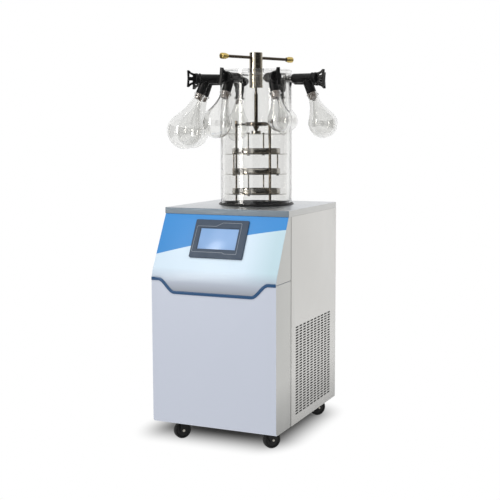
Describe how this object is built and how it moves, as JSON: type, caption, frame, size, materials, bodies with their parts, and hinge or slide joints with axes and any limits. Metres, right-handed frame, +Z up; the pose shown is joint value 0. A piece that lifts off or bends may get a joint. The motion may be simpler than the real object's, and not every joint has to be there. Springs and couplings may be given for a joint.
{
  "type": "freeze dryer",
  "caption": "Floor-standing laboratory freeze dryer on casters: slanted touch panel, cold trap, clear drying chamber with shelves, press screw, valves and glass flasks.",
  "frame": {"origin": "on the floor, under the middle of the whole model", "axes": "+Z up, front with the touch panel towards -Y, +X to the right when facing the front"},
  "size_m": [0.656, 0.6862, 1.396],
  "materials": {
    "cabinet_paint": "satin white powder coat",
    "panel_paint": "satin cool-white powder coat",
    "side_paint": "satin grey powder coat on sheet steel",
    "stripe_blue": "smooth dark blue strip",
    "stainless": "brushed stainless sheet",
    "polished_steel": "polished stainless",
    "acrylic": "clear cast acrylic",
    "flask_glass": "clear blown borosilicate",
    "seal_rubber": "black moulded rubber",
    "valve_rubber": "black moulded, semi-gloss",
    "slate_plastic": "dark slate moulded plastic",
    "screen": "lit touch screen behind a clear film",
    "brass": "turned brass",
    "black_enamel": "black enamelled steel",
    "fin_aluminium": "plain aluminium fins",
    "fan_plastic": "black moulded plastic",
    "caster_plastic": "black moulded nylon",
    "wheel_rubber": "black rubber tread"
  },
  "bodies": {
    "cabinet": {"base_pan": "side_paint", "side_panel_left": "side_paint", "side_panel_right": "side_paint", "back_panel": "side_paint", "upper_front_cover": "cabinet_paint", "lower_front_panel": "panel_paint", "accent_trim": "stripe_blue", "top_plate": "stainless", "display_housing": "slate_plastic", "display_glass": "screen", "power_inlet": "slate_plastic", "cold_trap": "stainless", "compressor": "black_enamel", "condenser": "fin_aluminium", "seal_ring": "seal_rubber", "chamber": "acrylic", "rack_frame": "polished_steel", "valve_body_1": "valve_rubber", "valve_body_2": "valve_rubber", "valve_body_3": "valve_rubber", "valve_body_4": "valve_rubber", "valve_body_5": "valve_rubber", "valve_body_6": "valve_rubber", "valve_body_7": "valve_rubber", "valve_body_8": "valve_rubber", "flask_1": "flask_glass", "flask_2": "flask_glass", "flask_3": "flask_glass", "flask_4": "flask_glass", "flask_5": "flask_glass", "flask_6": "flask_glass", "flask_7": "flask_glass", "flask_8": "flask_glass"},
    "fan": {"fan_blades": "fan_plastic"},
    "shelf_stack": {"press_plate": "polished_steel", "shelf_1": "polished_steel", "tray_1": "polished_steel", "shelf_2": "polished_steel", "tray_2": "polished_steel", "shelf_3": "polished_steel", "tray_3": "polished_steel"},
    "handle": {"t_handle": "polished_steel", "handle_cap_left": "brass", "handle_cap_right": "brass"},
    "caster_1": {"caster_fork_1": "caster_plastic"},
    "wheel_1": {"caster_wheel_1": "wheel_rubber"},
    "caster_2": {"caster_fork_2": "caster_plastic"},
    "wheel_2": {"caster_wheel_2": "wheel_rubber"},
    "caster_3": {"caster_fork_3": "caster_plastic"},
    "wheel_3": {"caster_wheel_3": "wheel_rubber"},
    "caster_4": {"caster_fork_4": "caster_plastic"},
    "wheel_4": {"caster_wheel_4": "wheel_rubber"},
    "knob_1": {"valve_knob_1": "valve_rubber"},
    "knob_2": {"valve_knob_2": "valve_rubber"},
    "knob_3": {"valve_knob_3": "valve_rubber"},
    "knob_4": {"valve_knob_4": "valve_rubber"},
    "knob_5": {"valve_knob_5": "valve_rubber"},
    "knob_6": {"valve_knob_6": "valve_rubber"},
    "knob_7": {"valve_knob_7": "valve_rubber"},
    "knob_8": {"valve_knob_8": "valve_rubber"}
  },
  "joints": [
    {"name": "valve_turn_1", "type": "hinge", "parent": "cabinet", "child": "knob_1", "pos_m": [0.25373, 0.02283, 1.298], "axis": [0.9981, -0.061, 0], "range_deg": [0, 180]},
    {"name": "valve_turn_2", "type": "hinge", "parent": "cabinet", "child": "knob_2", "pos_m": [0.19281, 0.19977, 1.298], "axis": [0.749, 0.6626, 0], "range_deg": [0, 180]},
    {"name": "valve_turn_3", "type": "hinge", "parent": "cabinet", "child": "knob_3", "pos_m": [0.02474, 0.2838, 1.298], "axis": [0.061, 0.9981, 0], "range_deg": [0, 180]},
    {"name": "valve_turn_4", "type": "hinge", "parent": "cabinet", "child": "knob_4", "pos_m": [-0.15232, 0.22088, 1.298], "axis": [-0.6626, 0.749, 0], "range_deg": [0, 180]},
    {"name": "valve_turn_5", "type": "hinge", "parent": "cabinet", "child": "knob_5", "pos_m": [-0.23036, 0.05244, 1.298], "axis": [-0.9981, 0.061, 0], "range_deg": [0, 180]},
    {"name": "valve_turn_6", "type": "hinge", "parent": "cabinet", "child": "knob_6", "pos_m": [-0.16369, -0.11564, 1.298], "axis": [-0.749, -0.6626, 0], "range_deg": [0, 180]},
    {"name": "valve_turn_7", "type": "hinge", "parent": "cabinet", "child": "knob_7", "pos_m": [-0.00481, -0.1993, 1.298], "axis": [-0.061, -0.9981, 0], "range_deg": [0, 180]},
    {"name": "valve_turn_8", "type": "hinge", "parent": "cabinet", "child": "knob_8", "pos_m": [0.16309, -0.13563, 1.298], "axis": [0.6626, -0.749, 0], "range_deg": [0, 180]},
    {"name": "caster_swivel_1", "type": "hinge", "parent": "cabinet", "child": "caster_1", "pos_m": [-0.15231, -0.23524, 0.08], "axis": [0, 0, 1], "continuous": true},
    {"name": "caster_swivel_2", "type": "hinge", "parent": "cabinet", "child": "caster_2", "pos_m": [0.17369, -0.23524, 0.08], "axis": [0, 0, 1], "continuous": true},
    {"name": "caster_swivel_3", "type": "hinge", "parent": "cabinet", "child": "caster_3", "pos_m": [-0.15231, 0.22476, 0.08], "axis": [0, 0, 1], "continuous": true},
    {"name": "caster_swivel_4", "type": "hinge", "parent": "cabinet", "child": "caster_4", "pos_m": [0.17369, 0.22476, 0.08], "axis": [0, 0, 1], "continuous": true},
    {"name": "wheel_spin_1", "type": "hinge", "parent": "caster_1", "child": "wheel_1", "pos_m": [-0.16131, -0.24597, 0.0314], "axis": [0.766, -0.6428, 0], "continuous": true},
    {"name": "wheel_spin_2", "type": "hinge", "parent": "caster_2", "child": "wheel_2", "pos_m": [0.18269, -0.22452, 0.0314], "axis": [-0.766, 0.6428, 0], "continuous": true},
    {"name": "wheel_spin_3", "type": "hinge", "parent": "caster_3", "child": "wheel_3", "pos_m": [-0.16131, 0.21403, 0.0314], "axis": [0.766, -0.6428, 0], "continuous": true},
    {"name": "wheel_spin_4", "type": "hinge", "parent": "caster_4", "child": "wheel_4", "pos_m": [0.18269, 0.23548, 0.0314], "axis": [-0.766, 0.6428, 0], "continuous": true},
    {"name": "fan_spin", "type": "hinge", "parent": "cabinet", "child": "fan", "pos_m": [0.06769, 0.17376, 0.2073], "axis": [0, 1, 0], "continuous": true},
    {"name": "stack_slide", "type": "slide", "parent": "cabinet", "child": "shelf_stack", "axis": [0, 0, 1], "range_m": [-0.016, 0]},
    {"name": "handle_turn", "type": "hinge", "parent": "shelf_stack", "child": "handle", "pos_m": [0.00969, 0.03776, 1.377], "axis": [0, 0, 1], "range_deg": [-1440, 0]}
  ],
  "couplings": [
    {"joint": "stack_slide", "follows": "handle_turn", "m_per_rad": 0.00063662}
  ]
}
